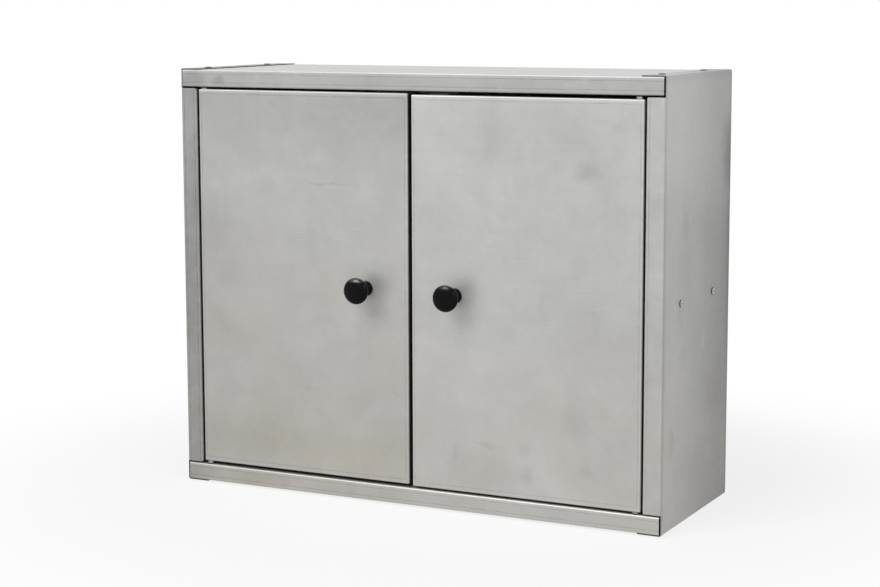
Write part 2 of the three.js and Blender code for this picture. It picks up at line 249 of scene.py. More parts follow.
def choose(*pieces):
    """Leaves edit mode and selects only these pieces, the first one active."""
    if bpy.context.object and bpy.context.object.mode != "OBJECT":
        bpy.ops.object.mode_set(mode="OBJECT")
    bpy.ops.object.select_all(action="DESELECT")
    for piece in pieces:
        piece.select_set(True)
    if pieces:
        bpy.context.view_layer.objects.active = pieces[0]


def named(name):
    """Names the piece that an operator has just added."""
    piece = bpy.context.object
    piece.name = piece.data.name = name
    return piece


def edit(piece, mode="FACE"):
    """Opens a piece in edit mode with all of it selected."""
    choose(piece)
    bpy.ops.object.mode_set(mode="EDIT")
    bpy.ops.mesh.select_mode(type=mode)
    bpy.ops.mesh.select_all(action="SELECT")


def finish_modifier(piece, kind, **values):
    """Adds a modifier with these values and applies it."""
    choose(piece)
    modifier = piece.modifiers.new(kind.title(), kind)
    for name, value in values.items():
        setattr(modifier, name, value)
    bpy.ops.object.modifier_apply(modifier=modifier.name)


def smoothed(piece, angle):
    """Shades a piece smooth up to this angle, led by its broad faces."""
    choose(piece)
    bpy.ops.object.shade_smooth_by_angle(angle=angle)
    finish_modifier(piece, "WEIGHTED_NORMAL", keep_sharp=True, weight=BROAD_FACE_WEIGHT)


def eased(piece, width):
    """Takes the sharp edges off a piece and shades it smooth between them."""
    finish_modifier(piece, "BEVEL", width=width, segments=2, limit_method="ANGLE",
                    angle_limit=FOLD_ANGLE, use_clamp_overlap=False)
    smoothed(piece, FOLD_ANGLE)


def placed(piece, spot, turn=(0, 0, 0)):
    """Moves a finished piece to its place and keeps that place in its mesh."""
    piece.location = spot
    piece.rotation_euler = turn
    choose(piece)
    bpy.ops.object.transform_apply(location=True, rotation=True, scale=True)
    return piece


def twin(piece, name):
    """A copy of a piece with a mesh of its own."""
    copy = bpy.data.objects.new(name, piece.data.copy())
    copy.data.name = name
    bpy.context.scene.collection.objects.link(copy)
    return copy


def nodes_of(kind):
    """The CAD nodes whose names begin with this kind, in the order of their names."""
    return sorted(node for node in BODY_OF if node.startswith(f"{kind}_"))


def dressed(piece, node, slot, *finishes):
    """Gives a piece its finishes, and puts it in the place of its CAD node."""
    if finishes:
        piece.data.materials.clear()
        for finish in finishes:
            piece.data.materials.append(finish)
    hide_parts(node)
    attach(piece, BODY_OF[node])


def turned(name, profile, steps, closed=False):
    """Draws a ring along a profile of (radius, level) pairs, as on a lathe."""
    radius, level = profile[0]
    fill = "NOTHING" if closed else "NGON"
    choose()
    bpy.ops.mesh.primitive_circle_add(vertices=steps, radius=radius, fill_type=fill)
    piece = named(name)
    edit(piece, "VERT")
    bpy.ops.transform.translate(value=(0, 0, level))
    for wide, high in profile[1:] + (profile[:1] if closed else []):
        bpy.ops.mesh.extrude_region_move(TRANSFORM_OT_translate={"value": (0, 0, high - level)})
        share = wide / radius
        bpy.ops.transform.resize(value=(share, share, 1), center_override=(0, 0, high))
        radius, level = wide, high
    bpy.ops.mesh.select_all(action="SELECT")
    bpy.ops.mesh.remove_doubles(threshold=LATHE_MERGE)
    bpy.ops.mesh.normals_make_consistent(inside=False)
    bpy.ops.object.mode_set(mode="OBJECT")
    return piece


def merged_copy(node, name):
    """A copy of a CAD node with its loose triangles joined and its flat faces made whole."""
    piece = twin(frame["nodes"][node], name)
    piece.data.materials.clear()
    edit(piece, "VERT")
    bpy.ops.mesh.remove_doubles(threshold=CAD_MERGE)
    bpy.ops.mesh.customdata_custom_splitnormals_clear()
    bpy.ops.mesh.dissolve_limited(angle_limit=FLAT_ANGLE)
    bpy.ops.object.mode_set(mode="OBJECT")
    return piece


def mark_cut_edges(piece):
    """Gives the second finish to the long faces that are as wide as the sheet is thick."""
    corners = piece.data.vertices
    narrow, wide = (share * SHEET for share in CUT_EDGE_SHARES)
    for face in piece.data.polygons:
        ring = [corners[i].co for i in face.vertices]
        around = sum((ring[i] - ring[i - 1]).length for i in range(len(ring)))
        if narrow < 2 * face.area / around < wide:
            face.material_index = 1


def folded_sheet(node, finish, edge_finish):
    """One folded sheet: smooth folds, eased and darker cut edges."""
    piece = merged_copy(node, f"{node}_sheet")
    piece.data.materials.append(finish)
    piece.data.materials.append(edge_finish)
    mark_cut_edges(piece)
    eased(piece, bpy.context.scene.cabinet_sheet.burr)
    dressed(piece, node, "sheet_steel")


def crossed(piece, level, across, deep, wide):
    """Cuts a cross recess into the head that ends at this level."""
    for size in ((across, wide), (wide, across)):
        choose()
        bpy.ops.mesh.primitive_cube_add(size=1, location=(0, 0, level))
        cutter = named("recess")
        cutter.scale = (*size, 2 * deep)
        bpy.ops.object.transform_apply(location=True, rotation=True, scale=True)
        finish_modifier(piece, "BOOLEAN", operation="DIFFERENCE", object=cutter, solver="EXACT")
        bpy.data.objects.remove(cutter)


# Finishes
class Nodes:
    """Short ways to add to the nodes of a material or of the world."""

    def __init__(self, tree):
        self.tree = tree

    def add(self, kind, inputs=(), **values):
        """A node with these values, and a number or a link in each of these inputs."""
        node = self.tree.nodes.new(kind)
        for name, value in values.items():
            setattr(node, name, value)
        for socket, value in dict(inputs).items():
            if isinstance(value, bpy.types.NodeSocket):
                self.tree.links.new(value, node.inputs[socket])
            else:
                node.inputs[socket].default_value = value
        return node

    def sum(self, operation, *values, clamp=False):
        """The result of a sum on plain values."""
        node = self.add("ShaderNodeMath", enumerate(values), operation=operation)
        node.use_clamp = clamp
        return node.outputs[0]

    def product(self, *values):
        """All these values multiplied."""
        total = values[0]
        for value in values[1:]:
            total = self.sum("MULTIPLY", total, value)
        return total

    def vector(self, operation, *values):
        """The result of a sum on vectors."""
        node = self.add("ShaderNodeVectorMath", enumerate(values), operation=operation)
        return node.outputs["Value" if operation == "LENGTH" else "Vector"]

    def ramp(self, value, low, high, to_low=0.0, to_high=1.0, soft=False):
        """Maps low and high to two other values, and holds those beyond them."""
        kind = "SMOOTHSTEP" if soft else "LINEAR"
        values = {0: value, 1: low, 2: high, 3: to_low, 4: to_high}
        return self.add("ShaderNodeMapRange", values, interpolation_type=kind).outputs[0]


class Finish(Nodes):
    """A material in the making, on the coordinates of its own piece."""

    def __init__(self, name):
        self.material = bpy.data.materials.new(name)
        self.material.use_nodes = True
        super().__init__(self.material.node_tree)
        self.skin = self.tree.nodes["Principled BSDF"]
        self.spot = self.add("ShaderNodeTexCoord").outputs["Object"]

    def axes(self):
        """The three coordinates of a point on the piece, by name."""
        return dict(zip("xyz", self.add("ShaderNodeSeparateXYZ", {0: self.spot}).outputs))

    def scaled(self, colour, light):
        """A colour made lighter or darker."""
        node = self.add("ShaderNodeVectorMath", {0: colour, "Scale": light}, operation="SCALE")
        return node.outputs[0]

    def noise(self, scale, detail, stretch=(1, 1, 1), seed=0.0, bend=0.0):
        """Cloudy noise, with its scale in waves to the metre."""
        place = self.add("ShaderNodeMapping", {
            "Vector": self.spot, "Location": (seed, seed * 0.7, -seed), "Scale": stretch,
        }).outputs[0]
        return self.add("ShaderNodeTexNoise", {
            "Vector": place, "Scale": scale, "Detail": detail, "Distortion": bend,
        }).outputs[0]

    def blend(self, share, first, second):
        """A share of the second colour over the first one."""
        first, second = (
            colour if isinstance(colour, bpy.types.NodeSocket) else (*colour, 1)
            for colour in (first, second)
        )
        return self.add("ShaderNodeMix", {0: share, 6: first, 7: second}, data_type="RGBA").outputs[2]

    def bump(self, height):
        """Relief from a height in metres."""
        node = self.add("ShaderNodeBump", {"Height": height, "Distance": 1.0, "Strength": 1.0})
        self.set(Normal=node.outputs[0])

    def set(self, **values):
        """Gives values to the skin's sockets and hands out the material."""
        for name, value in values.items():
            socket = self.skin.inputs[name.replace("_", " ")]
            if isinstance(value, bpy.types.NodeSocket):
                self.tree.links.new(value, socket)
            else:
                socket.default_value = value
        return self.material


class SheetFinish(Finish):
    """Bare rolled steel, to whose light, height and roughness each step adds."""

    def __init__(self, name, tone, gloss, seed, front):
        super().__init__(name)
        self.at = self.axes()
        self.light = tone
        self.height = 0.0
        self.rough = gloss
        self.seed = seed
        self.front = front
        self.clouds = self.noise(8.0, 3.0, seed=seed, bend=0.4)

    def lighten(self, pattern, amount):
        """Adds an amount of a pattern to the light."""
        self.light = self.sum("MULTIPLY_ADD", pattern, amount, self.light)

    def roughen(self, pattern, amount):
        """Adds an amount of a pattern to the roughness."""
        self.rough = self.sum("MULTIPLY_ADD", pattern, amount, self.rough)

    def raise_skin(self, pattern, depth):
        """Adds a pattern of this depth in metres to the height."""
        self.height = self.sum("MULTIPLY_ADD", pattern, depth, self.height)

    def outside(self):
        """1 on the outer face, 0 behind it."""
        return self.sum("LESS_THAN", self.at["y"], self.front)

    def roll(self, cloudy):
        """Clouds, blotches, mottle, rolling streaks and grain, and the sheet's faint waves."""
        blotches = self.noise(30.0, 4.0, seed=self.seed + 5, bend=0.8)
        mottle = self.noise(110.0, 3.0, seed=self.seed + 3, bend=0.5)
        streaks = self.noise(1.0, 3.0, stretch=(110, 110, 9), seed=self.seed)
        rolled = self.noise(1.0, 2.0, stretch=(14, 14, 420), seed=self.seed + 2)
        grain = self.noise(1500.0, 2.0)
        waves = self.noise(4.5, 1.0, seed=self.seed + 9)
        patterns = (
            (self.clouds, 0.26 * cloudy), (blotches, 0.15 * cloudy), (mottle, 0.10 * cloudy),
            (streaks, 0.02 * cloudy), (rolled, 0.05), (grain, 0.12),
        )
        self.light -= sum(amount for _, amount in patterns) / 2
        for pattern, amount in patterns:
            self.lighten(pattern, amount)
        for pattern, depth in ((waves, 0.0008), (rolled, 0.000006), (grain, 0.0000035)):
            self.raise_skin(pattern, depth)
        uneven = 0.20
        self.rough -= uneven / 2
        self.roughen(blotches, uneven)

    def spots(self, marks, along):
        """Sum of soft marks: (place across, height, half width, half height, strength) each."""
        reach, core = 0.02, 0.1
        drift = self.add("ShaderNodeTexNoise", {"Vector": self.spot, "Scale": 38.0, "Detail": 3.0})
        drift = self.vector("MULTIPLY_ADD", drift.outputs[1], (reach,) * 3, (-reach / 2,) * 3)
        loose = self.vector("ADD", self.spot, drift)
        total = 0.0
        for across, up, wide, high, strength in marks:
            scale = Vector((1 / wide, 0, 1 / high) if along == "x" else (0, 1 / wide, 1 / high))
            centre = Vector((across, across, up)) * scale
            away = self.vector("LENGTH", self.vector("MULTIPLY_ADD", loose, scale, -centre))
            share = self.ramp(away, core, 1.0, strength, 0.0, soft=True)
            total = self.sum("ADD", total, share)
        return total

    def past_marks(self, lines):
        """Distance beyond the outermost press mark, below zero between them."""
        farthest = None
        for axis, place, way in lines:
            past = self.sum("MULTIPLY_ADD", self.at[axis], way, -way * place)
            farthest = past if farthest is None else self.sum("MAXIMUM", farthest, past)
        return farthest

    def fade(self, fades, behind):
        """Light that changes along an axis: (axis, from, to, change) each."""
        for axis, low, high, change in fades:
            share = self.ramp(self.at[axis], low, high, 0.0, change, soft=True)
            self.light = self.sum("ADD", self.light, share)
        for axis, low, high, change in behind:
            share = self.ramp(self.at[axis], low, high, 0.0, change, soft=True)
            self.lighten(share, self.sum("GREATER_THAN", self.at["y"], self.front))

    def fold(self, lines):
        """Press marks inside the folds, with painted shade in their grooves, and a painted highlight
        on the face that rolls away beyond them.
        """
        core, reach, depth, shade = 0.0002, 0.0007, 0.00006, 0.23
        # shade paints the grooves darker, and gleam paints a highlight on the rolled face beyond the
        # marks
        gleam, curve = 16.0, 9.0
        past = self.past_marks(lines)
        groove = self.ramp(self.sum("ABSOLUTE", past), core, reach, 1.0, 0.0, soft=True)
        broken = self.ramp(self.noise(90.0, 3.0, seed=self.seed), 0.38, 0.55, 0.45, 1.0)
        groove = self.product(groove, broken, self.outside())
        beyond = self.product(self.sum("MAXIMUM", past, 0.0), self.outside())
        self.lighten(groove, -shade)
        self.lighten(beyond, gleam)
        self.raise_skin(groove, -depth)
        self.raise_skin(self.product(beyond, beyond), -curve)

    def shade_gaps(self, rim):
        """Painted shade on the inward faces beside the gaps, from the rim to the hem."""
        y, z = self.at["y"], self.at["z"]
        # The painted shade grows to full within full of the front, and fades out between hem and clean
        full, hem, clean, strength = 0.002, 0.008, 0.014, 0.80
        gap_shade = self.product(
            self.ramp(y, self.front, self.front + full, 0.0, strength),
            self.ramp(y, self.front + clean, self.front + hem),
            self.sum("GREATER_THAN", self.past_marks(rim), 0.0),
            self.sum("LESS_THAN", z, CROWN + SHEET / 2),
            self.sum("GREATER_THAN", z, SOLE - SHEET / 2),
        )
        self.light = self.product(self.light, self.sum("SUBTRACT", 1.0, gap_shade))

    def scratch(self, low, high):
        """Hair scratches round the height where hands reach for the knobs."""
        soft, gleam, polish = 0.05, 0.20, 0.12
        hair = self.noise(1.0, 0.0, stretch=(38, 38, 1250), seed=self.seed + 4)
        patch = self.noise(11.0, 1.0, seed=self.seed + 7)
        hair = self.product(
            self.ramp(hair, 0.73, 0.80), self.ramp(patch, 0.48, 0.60), self.outside(),
            self.ramp(self.at["z"], low, low + soft), self.ramp(self.at["z"], high, high - soft),
        )
        self.lighten(hair, gleam)
        self.roughen(hair, -polish)

    def tint(self, settings, warm, stains, along):
        """Cool grey above, warm grey below, faint violet clouds and old oil stains."""
        cloud_reach = 0.16
        level = self.sum("SUBTRACT", self.at["z"], cloud_reach / 2)
        level = self.sum("MULTIPLY_ADD", self.clouds, cloud_reach, level)
        colour = self.blend(self.ramp(level, *warm, soft=True), settings.cool, settings.warm)
        violet = self.noise(13.0, 2.0, seed=self.seed + 8, bend=0.6)
        violet = self.ramp(violet, 0.42, 0.60, 0.0, 0.5, soft=True)
        colour = self.blend(violet, colour, settings.violet)
        if stains:
            old = self.sum("ADD", self.spots(stains, along), 0.0, clamp=True)
            colour = self.blend(old, colour, settings.olive)
        return colour


def sheet_finish(name, tone, seed, along="x", front=None, cloudy=1.0, warm=(0.34, 0.05), marks=(),
                 fades=(), behind=(), lines=(), rim=(), scratches=None, stains=(), sleek=None):
    """Bare sheet steel, with the handling and the shading of one sheet."""
    settings = bpy.context.scene.cabinet_sheet
    f = SheetFinish(name, tone, settings.gloss, seed, front)
    f.roll(cloudy)
    if marks:
        f.light = f.sum("ADD", f.light, f.spots(marks, along))
    f.fade(fades, behind)
    if lines:
        f.fold(lines)
    if rim:
        f.shade_gaps(rim)
    if scratches:
        f.scratch(*scratches)
    colour = f.tint(settings, warm, stains, along)
    f.bump(f.height)
    metal = settings.metal
    if sleek:
        metal = f.ramp(f.at["z"], sleek - TOP_FACE, sleek, metal, TOP_FACE_METAL, soft=True)
    return f.set(Base_Color=f.scaled(colour, f.light), Roughness=f.rough, Metallic=metal)


def cut_edge_finish(name, colour, shadowed=1.0):
    """Sheared edge: the fine lines of the blade, and painted shade at a side panel's foot and crown,
    beside the rails.
    """
    if name in bpy.data.materials:
        return bpy.data.materials[name]
    f = Finish(name)
    lines = f.noise(1500.0, 3.0)
    patch = f.noise(120.0, 3.0, seed=3)
    light = f.sum("MULTIPLY_ADD", lines, 0.5, f.sum("MULTIPLY_ADD", patch, 0.5, 0.5))
    if shadowed < 1:
        level = f.axes()["z"]
        # The painted shade is full at the foot, gone above clean, and full again at the crown
        foot, clean, top = 0.02, 0.12, CROWN + SHEET
        light = f.product(light, f.ramp(level, foot, clean, shadowed, 1.0),
                          f.ramp(level, top - 1.6 * SHEET, top - SHEET, 1.0, shadowed))
    f.bump(f.product(lines, 0.000012))
    return f.set(Base_Color=f.scaled(colour, light), Roughness=0.5, Metallic=0.7)


def plated_finish(name, colour, roughness, metallic=0.9, mirror=0.5):
    """Bright plating with dull spots and faint turning marks."""
    f = Finish(name)
    wear, spread, relief = 0.25, 0.3, 0.000004
    dull = f.noise(700.0, 4.0)
    turning = f.noise(1.0, 2.0, stretch=(900, 900, 9000))
    light = f.sum("MULTIPLY_ADD", dull, 2 * wear, 1 - wear)
    f.bump(f.product(f.sum("ADD", dull, turning), relief))
    rough = f.sum("MULTIPLY_ADD", dull, spread, roughness - spread / 2)
    f.set(Base_Color=f.scaled(colour, light), Roughness=rough, Metallic=metallic)
    return f.set(Specular_IOR_Level=mirror)


def moulded_finish(name, colour, roughness, grain=0.0000015, scale=2600.0, mirror=0.5,
                   crown_highlight=None):
    """Moulded plastic: a fine skin and handled spots, and a raised mirror towards its crown that
    strengthens the lamp's highlight there.
    """
    f = Finish(name)
    wear, spread = 0.25, 0.16
    skin = f.noise(scale, 3.0)
    hands = f.noise(160.0, 4.0, bend=0.6)
    light = f.sum("MULTIPLY_ADD", hands, 2 * wear, 1 - wear)
    f.bump(f.product(skin, grain))
    rough = f.sum("MULTIPLY_ADD", hands, spread, roughness - spread / 2)
    f.set(Base_Color=f.scaled(colour, light), Roughness=rough, Metallic=0.0)
    if crown_highlight:
        low, high, shine = crown_highlight
        mirror = f.ramp(f.axes()["z"], low, high, mirror, shine, soft=True)
    return f.set(Specular_IOR_Level=mirror)


# Sheets
# Press marks, in from the edge of a rail, a wall or a door
RAIL_FOLD, RAIL_HEM = 0.0050, 0.0152
STILE_RIM, STILE_FOLD, STILE_HEM = WALL - 0.0206, WALL - 0.0174, WALL - 0.0038
DOOR_RIM, DOOR_SIDE_FOLD, DOOR_END_FOLD = 0.0004, 0.0036, 0.0054
# How far below an upper edge its painted highlight begins and is full
LIP_FROM, LIP_TO = 0.0022, 0.0004


def door_marks(hand, sides, ends):
    """Press marks this far in from a door's sides and ends, as (axis, place, way out)."""
    low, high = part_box(f"door_{hand}")
    return [("x", low.x + sides, -1), ("x", high.x - sides, 1),
            ("z", low.z + ends, -1), ("z", high.z - ends, 1)]


def door_look(hand, lip_highlight, fade, **look):
    """What both doors share: folds all round, painted shade on the lips beside the gaps and a painted
    highlight on the upper lip.
    """
    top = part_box(f"door_{hand}")[1].z
    return dict(
        front=DOOR_FRONT, rim=door_marks(hand, DOOR_RIM, DOOR_RIM),
        lines=door_marks(hand, DOOR_SIDE_FOLD, DOOR_END_FOLD),
        fades=[fade, ("z", top - LIP_FROM, top - LIP_TO, lip_highlight)], **look)


# A mark or a stain is (place across, height, half width, half height, strength)
# A fade is (axis, from, to, change of light), and a line is (axis, place, way out)
CARCASS_LOOKS = {
    "top_panel": dict(
        tone=0.835, seed=1, front=CARCASS_FRONT, warm=(0.2, 0.0), sleek=CROWN,
        lines=[("z", CROWN - RAIL_FOLD, 1), ("z", CROWN - RAIL_HEM, -1)],
        # This fade paints the top face lighter: painted light
        fades=[("z", CROWN - TOP_FACE, CROWN, 0.56)],
        marks=[
            (-0.2476, 0.4767, 0.012, 0.009, -0.17), (-0.150, 0.4795, 0.120, 0.014, 0.07),
            # The mark at the left end paints shade under the edge of the side panel's top flange
            (-0.290, 0.4795, 0.035, 0.014, -0.15), (0.215, 0.4795, 0.080, 0.014, 0.13),
        ],
    ),
    "bottom_panel": dict(
        tone=0.965, seed=2, front=CARCASS_FRONT, warm=(0.6, 0.0),
        lines=[("z", SOLE + RAIL_FOLD, -1), ("z", SOLE + RAIL_HEM, 1)],
        # The first fade paints a highlight on the rail's upper edge
        fades=[("z", LIP - LIP_FROM, LIP - LIP_TO, 0.22), ("x", -0.08, 0.05, 0.055)],
        stains=[(-0.20, 0.012, 0.22, 0.030, 0.26)],
        # This mark paints shade at the rail's left end, beside the side panel's edge
        marks=[(-0.290, 0.012, 0.040, 0.030, -0.15)],
    ),
    "side_panel_left": dict(
        tone=0.70, seed=3, along="y", front=CARCASS_FRONT, cloudy=1.5, warm=(0.42, 0.14),
        rim=[("x", -STILE_RIM, 1)], lines=[("x", -STILE_FOLD, 1), ("x", -STILE_HEM, -1)],
        marks=[
            (CARCASS_FRONT, 0.315, 0.040, 0.130, -0.14),
            (CARCASS_FRONT, 0.465, 0.040, 0.050, -0.06),
        ],
        sleek=CROWN + SHEET,
    ),
    "side_panel_right": dict(
        tone=1.03, seed=4, along="y", front=CARCASS_FRONT, cloudy=1.25,
        lines=[("x", STILE_FOLD, -1)],
        # The fades paint light and shade on the wall: shade towards the back edge and in its front and
        # rear folds, lighter and darker by height behind the front
        fades=[
            ("y", -0.08, 0.122, -0.40), ("y", CARCASS_FRONT - 0.0009, CARCASS_FRONT, -0.17),
            ("y", CARCASS_FRONT + 0.0010, CARCASS_FRONT + 0.0075, 0.17),
            ("y", 0.108, 0.1225, -0.10),
        ],
        behind=[
            ("z", 0.29, 0.42, 0.22), ("z", 0.14, 0.04, 0.07),
            ("z", CROWN - 0.013, CROWN - 0.001, -0.10),
        ],
        marks=[
            # The first two marks paint shade along the rear fold
            (0.124, 0.300, 0.036, 0.180, -0.16), (0.112, 0.400, 0.034, 0.055, -0.26),
            (-0.025, 0.330, 0.020, 0.034, -0.09), (-0.042, 0.232, 0.018, 0.024, -0.08),
            (0.037, 0.198, 0.014, 0.018, 0.08), (-0.031, 0.185, 0.022, 0.018, -0.06),
            (-0.064, 0.100, 0.010, 0.022, -0.10), (-0.025, 0.270, 0.040, 0.060, -0.05),
            (-0.010, 0.205, 0.040, 0.060, -0.05), (CARCASS_FRONT, 0.205, 0.014, 0.120, -0.045),
        ],
        sleek=CROWN + SHEET,
    ),
    "back_panel": dict(tone=0.96, seed=5),
    "shelf": dict(tone=0.98, seed=6),
    "shelf_bracket_left": dict(tone=0.95, seed=7, along="y"),
    "shelf_bracket_right": dict(tone=0.95, seed=7, along="y"),
}
DOOR_LOOKS = {
    "left": door_look(
        "left", lip_highlight=0.28, fade=("z", 0.36, 0.46, -0.15),
        tone=0.985, seed=11, warm=(0.38, 0.20), scratches=(0.17, 0.36),
        stains=[
            (-0.193, 0.062, 0.085, 0.058, 0.33), (-0.031, 0.055, 0.080, 0.058, 0.27),
            (-0.262, 0.058, 0.060, 0.055, 0.21), (-0.105, 0.050, 0.100, 0.046, 0.21),
        ],
        marks=[
            (-0.216, 0.409, 0.060, 0.050, -0.05), (-0.057, 0.357, 0.035, 0.045, 0.05),
            (-0.104, 0.3645, 0.045, 0.0022, -0.10), (-0.131, 0.1267, 0.026, 0.0018, -0.08),
            (-0.092, 0.3620, 0.040, 0.0018, 0.06), (-0.014, 0.1270, 0.012, 0.0018, -0.08),
            (-0.150, 0.290, 0.012, 0.022, -0.04), (-0.128, 0.300, 0.013, 0.050, -0.04),
            (-0.264, 0.230, 0.064, 0.230, -0.11), (-0.150, 0.330, 0.110, 0.090, -0.03),
            (-0.085, 0.215, 0.030, 0.040, 0.05),
        ],
    ),
    "right": door_look(
        "right", lip_highlight=0.14, fade=("z", 0.14, 0.26, -0.04),
        # The right door's higher tone is painted light: it stands for the brighter reflection on the
        # right door
        tone=1.06, seed=12, warm=(0.30, 0.08), scratches=(0.20, 0.34),
        marks=[
            (0.212, 0.388, 0.020, 0.017, -0.12), (0.177, 0.392, 0.018, 0.012, -0.06),
            (0.133, 0.405, 0.012, 0.013, -0.05), (0.2505, 0.436, 0.012, 0.011, -0.06),
            (0.101, 0.426, 0.020, 0.060, -0.05), (0.097, 0.0816, 0.022, 0.0040, -0.10),
            (0.145, 0.0516, 0.014, 0.016, -0.12), (0.0565, 0.0647, 0.006, 0.020, -0.08),
            (0.141, 0.0804, 0.013, 0.010, -0.09), (0.212, 0.0602, 0.012, 0.010, -0.07),
            (0.204, 0.1117, 0.026, 0.026, -0.06), (0.050, 0.380, 0.040, 0.060, 0.04),
            (0.100, 0.048, 0.060, 0.040, -0.06), (0.120, 0.215, 0.050, 0.040, -0.04),
            (0.266, 0.380, 0.032, 0.070, 0.05), (0.018, 0.390, 0.032, 0.060, 0.05),
        ],
    ),
}


class CABINET_OT_carcass(bpy.types.Operator):
    """Side, top, bottom and back panels, shelf and brackets, each one folded sheet"""

    bl_idname = "cabinet.carcass"
    bl_label = "Carcass sheets"

    def execute(self, context):
        settings = context.scene.cabinet_sheet
        edge = cut_edge_finish("cut_edge", settings.cut)
        side_edges = {
            "side_panel_left": cut_edge_finish("cut_edge_left", settings.cut_pale, shadowed=0.07),
            "side_panel_right": cut_edge_finish("cut_edge_dark", settings.cut_dark),
        }
        for node, look in CARCASS_LOOKS.items():
            finish = sheet_finish(f"{node}_steel", **look)
            folded_sheet(node, finish, side_edges.get(node, edge))
        return {"FINISHED"}


class CABINET_OT_doors(bpy.types.Operator):
    """Two folded door pans with their handling marks"""

    bl_idname = "cabinet.doors"
    bl_label = "Doors"

    def execute(self, context):
        edge = cut_edge_finish("cut_edge", context.scene.cabinet_sheet.cut)
        for hand in HANDS:
            finish = sheet_finish(f"door_{hand}_steel", **DOOR_LOOKS[hand])
            folded_sheet(f"door_{hand}", finish, edge)
        return {"FINISHED"}


# Knobs
KNOB_CURVE_SHARES = [
    (0.573, 0.0), (0.573, 0.052), (0.562, 0.0655), (0.525, 0.095), (0.480, 0.150), (0.448, 0.21),
    (0.432, 0.27), (0.428, 0.33), (0.437, 0.39), (0.468, 0.445), (0.530, 0.500), (0.620, 0.548),
    (0.730, 0.592), (0.830, 0.630), (0.905, 0.664), (0.955, 0.698), (0.985, 0.735),
    (0.997, 0.768), (0.999, 0.797), (0.990, 0.825), (0.968, 0.851), (0.932, 0.877),
    (0.878, 0.903), (0.800, 0.927), (0.700, 0.948), (0.570, 0.967), (0.430, 0.982),
    (0.280, 0.993), (0.140, 0.998), (0.040, 1.0),
]
# How far below a knob's crown its raised mirror begins and is full
HIGHLIGHT_FROM, HIGHLIGHT_TO = 0.0058, 0.0012


class CABINET_OT_knobs(bpy.types.Operator):
    """Two turned knobs with a collar, a waist and a shallow dome"""

    bl_idname = "cabinet.knobs"
    bl_label = "Knobs"

    def execute(self, context):
        settings = context.scene.cabinet_knob
        profile = [
            (across * settings.radius, along * settings.projection)
            for across, along in KNOB_CURVE_SHARES
        ]
        master = turned("knob", profile, settings.steps)
        smoothed(master, KNOB_ANGLE)
        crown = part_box("knob_left")[1].z
        finish = moulded_finish("knob_plastic", settings.colour, roughness=0.22, mirror=0.08,
                                crown_highlight=(crown - HIGHLIGHT_FROM, crown - HIGHLIGHT_TO, 0.9))
        for hand in HANDS:
            low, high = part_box(f"knob_{hand}")
            centre = (low + high) / 2
            knob = twin(master, f"knob_{hand}_turned")
            placed(knob, (centre.x, high.y, centre.z), (QUARTER_TURN, 0, 0))
            dressed(knob, f"knob_{hand}", "black_plastic", finish)
        bpy.data.objects.remove(master)
        return {"FINISHED"}


# Fittings
# Radius of the bore, height of the dome, and radius where the dark rim begins, partly dirt and partly
# painted shade
RIVET_BORE, RIVET_DOME, RIVET_RIM = 0.00112, 0.0015, 0.0036
RIVET_PROFILE = [
    # Bulb behind the sheets
    (0.00212, -0.0055), (0.00245, -0.0052), (0.00268, -0.0044), (0.00279, -0.0034),
    (0.00276, -0.0026), (0.00245, -0.0021), (0.0020, -0.0020),
    # Shank and domed head
    (0.0020, 0.0), (0.0040, 0.0), (0.0040, 0.00035), (0.00388, 0.00062), (0.00352, 0.00095),
    (0.00295, 0.00122), (0.0023, 0.00140), (0.0017, 0.00149), (0.00128, RIVET_DOME),
    # Bore with the stub of the mandrel
    (0.00115, 0.00142), (0.00108, 0.00045), (0.00085, 0.00032), (0.0005, 0.00045),
    (0.00015, 0.00050),
]
# Where a rivet's head faces: axis, way and turn
RIVET_SEATS = {
    "top": (2, 1, (0, 0, 0)),
    "bottom": (2, -1, (HALF_TURN, 0, 0)),
    "left": (0, -1, (0, -QUARTER_TURN, 0)),
    "right": (0, 1, (0, QUARTER_TURN, 0)),
}
PIN_TIP = [(0.0015, 0.0), (0.0017, 0.0), (0.0020, 0.0004)]
# Levels below the top of the head
PIN_HEAD = [
    (0.0020, 0.0012), (0.00265, 0.0012), (0.00265, 0.0005), (0.00240, 0.00015), (0.0018, 0.0),
    (0.0004, 0.0),
]
WASHER_BORE, WASHER_EDGE = 0.0023, 0.00015
PIVOT_WASHER = {"outer": 0.0038, "thick": 0.0013}
KNOB_WASHER = {"outer": 0.0050, "thick": 0.0010}
KNOB_SCREW_TOP = 0.0044
KNOB_SCREW_PROFILE = [
    (0.0014, -0.0100), (0.0020, -0.0094), (0.0020, 0.0020), (0.0040, 0.0020), (0.0040, 0.0029),
    (0.0038, 0.0034), (0.0034, 0.0039), (0.0027, 0.0043), (0.0018, KNOB_SCREW_TOP),
    (0.0004, KNOB_SCREW_TOP),
]
KNOB_SCREW_CROSS = {"across": 0.0040, "deep": 0.0009, "wide": 0.0010}
CATCH_SCREW_TOP = -0.0046
CATCH_SCREW_PROFILE = [
    (0.0004, CATCH_SCREW_TOP), (0.0017, -0.0045), (0.00225, -0.0042), (0.0026, -0.0038),
    (0.0028, -0.0034), (0.0028, -0.0030), (0.0015, -0.0030), (0.0015, 0.0030), (0.0002, 0.0044),
]
CATCH_SCREW_CROSS = {"across": 0.0030, "deep": 0.0007, "wide": 0.0007}
HOUSING_EDGE, MAGNET_EDGE, MAGNET_SETBACK = 0.00025, 0.00012, 0.0006


def flat_washer(outer, thick, steps):
    """A stamped washer that lies on the floor of the frame, its edges eased."""
    ring = [(WASHER_BORE, 0.0), (outer, 0.0), (outer, thick), (WASHER_BORE, thick)]
    washer = turned("washer", ring, steps, closed=True)
    eased(washer, WASHER_EDGE)
    return washer


